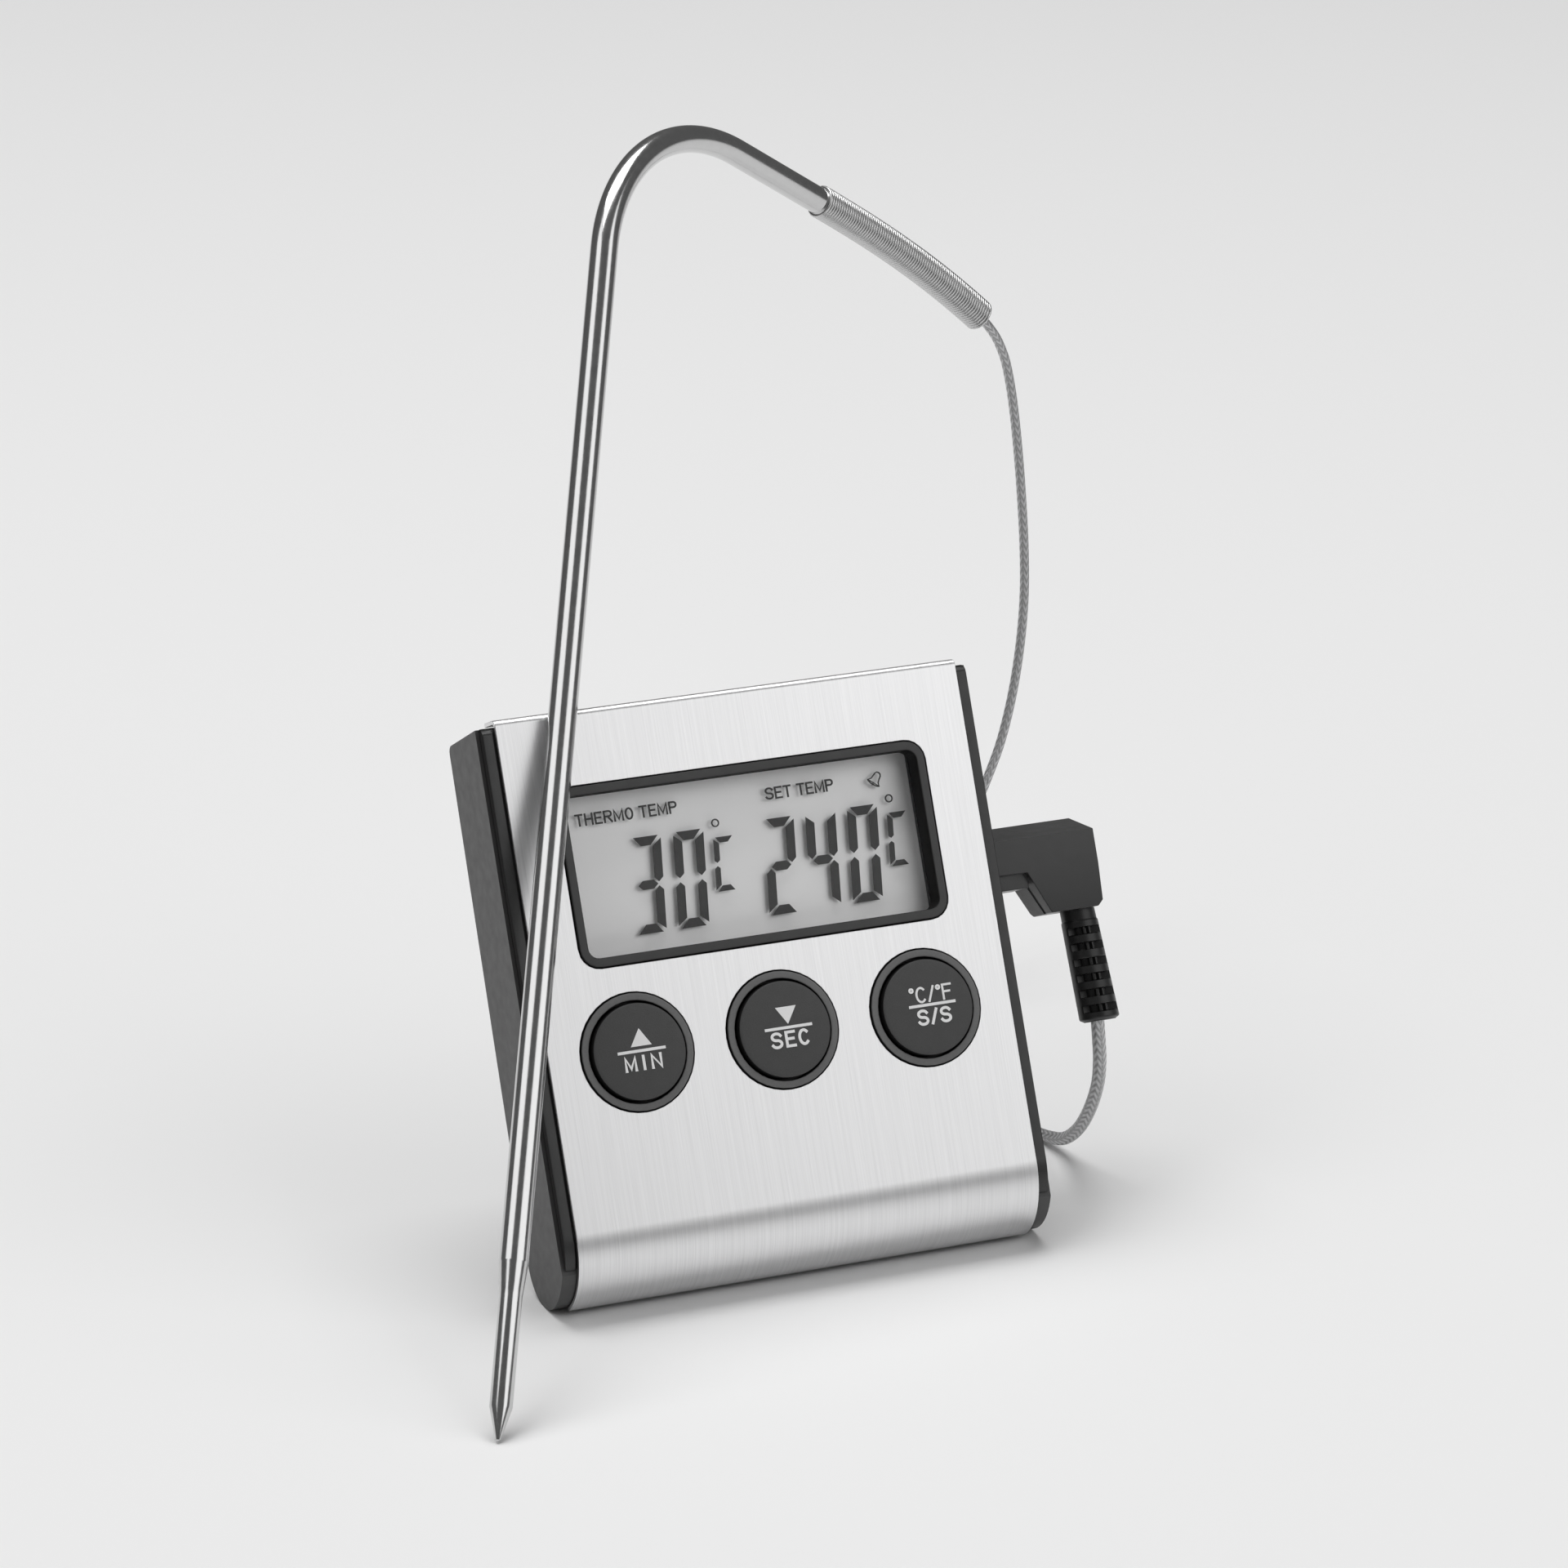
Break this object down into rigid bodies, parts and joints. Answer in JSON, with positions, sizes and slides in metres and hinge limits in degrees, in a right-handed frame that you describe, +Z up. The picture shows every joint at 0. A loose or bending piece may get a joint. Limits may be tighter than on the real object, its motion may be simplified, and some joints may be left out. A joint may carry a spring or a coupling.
{
  "type": "meat thermometer",
  "caption": "Digital meat thermometer: a steel-faced display unit leaning on a fold-out stand, with a bent steel probe on a coiled braided cord that plugs into its side.",
  "frame": {"origin": "centre of the underside of the unit, its stand and the leaning probe, without the cord and its plug", "axes": "+Z up, +X to the right across the display as its user sees it, +Y from the front to the back"},
  "size_m": [0.1394, 0.1406, 0.1452],
  "materials": {
    "steel_cover": "satin, fine vertical brushing",
    "black_plastic": "semi-gloss",
    "rear_plastic": "fine matte texture",
    "button_plastic": "satin, printed legends",
    "window": "clear, polished",
    "lcd_glass": "grey display with dark segments",
    "elastomer": "matte",
    "board": "solder mask",
    "black_resin": "cured resin",
    "brass": "polished",
    "contact_metal": "nickel plated",
    "screw_steel": "zinc plated",
    "cell_jacket": "printed jacket",
    "plug_plastic": "satin",
    "sleeve_rubber": "matte",
    "pin_metal": "polished",
    "probe_steel": "polished",
    "spring_steel": "bright wire",
    "cord_braid": "woven steel wire"
  },
  "bodies": {
    "unit": {"steel_front_cover": "steel_cover", "front_frame": "black_plastic", "rear_housing": "rear_plastic", "lcd_window": "window", "lcd_panel": "lcd_glass", "lcd_connector": "elastomer", "circuit_board": "board", "controller_chip": "black_resin", "buzzer": "brass", "probe_jack": "rear_plastic", "mode_switch_body": "contact_metal", "battery_cell": "cell_jacket", "battery_spring": "contact_metal", "battery_contact": "contact_metal", "key_switch_1": "contact_metal", "key_switch_2": "contact_metal", "key_switch_3": "contact_metal", "housing_screw_1": "screw_steel", "housing_screw_2": "screw_steel", "housing_screw_3": "screw_steel", "housing_screw_4": "screw_steel", "board_screw_1": "screw_steel", "board_screw_2": "screw_steel"},
    "up_button": {"up_button": "button_plastic"},
    "down_button": {"down_button": "button_plastic"},
    "start_button": {"start_button": "button_plastic"},
    "stand": {"stand": "rear_plastic"},
    "battery_door": {"battery_door": "rear_plastic"},
    "mode_switch": {"mode_switch_knob": "black_plastic"},
    "lead": {"plug_body": "plug_plastic", "plug_sleeve": "sleeve_rubber", "plug_pin": "pin_metal", "plug_pin_tip": "pin_metal", "cord_lower": "cord_braid", "cord_coil": "cord_braid", "cord_upper": "cord_braid"},
    "probe": {"probe_shaft": "probe_steel", "probe_tip": "probe_steel", "thermistor": "black_resin", "probe_spring": "spring_steel"}
  },
  "joints": [
    {"name": "up_button_press", "type": "slide", "parent": "unit", "child": "up_button", "axis": [0, 0.9063, -0.4226], "range_m": [0, 0.0008], "stiffness_N_per_m": 300},
    {"name": "down_button_press", "type": "slide", "parent": "unit", "child": "down_button", "axis": [0, 0.9063, -0.4226], "range_m": [0, 0.0008], "stiffness_N_per_m": 300},
    {"name": "start_button_press", "type": "slide", "parent": "unit", "child": "start_button", "axis": [0, 0.9063, -0.4226], "range_m": [0, 0.0008], "stiffness_N_per_m": 300},
    {"name": "stand_fold", "type": "hinge", "parent": "unit", "child": "stand", "pos_m": [-0.0079, -0.00882, 0.03443], "axis": [1, 0, 0], "range_deg": [-53, 0]},
    {"name": "battery_door_open", "type": "hinge", "parent": "unit", "child": "battery_door", "pos_m": [-0.0079, -0.02519, 0.005], "axis": [-1, 0, 0], "range_deg": [0, 60]},
    {"name": "mode_switch_slide", "type": "slide", "parent": "unit", "child": "mode_switch", "axis": [1, 0, 0], "range_m": [0, 0.003]},
    {"name": "plug_pull", "type": "slide", "parent": "unit", "child": "lead", "axis": [1, 0, 0], "range_m": [0, 0.016]},
    {"name": "probe_lift", "type": "slide", "parent": "lead", "child": "probe", "axis": [0, -0.9063, 0.4226], "range_m": [0, 0.04], "deforming": ["cord_upper"]}
  ]
}
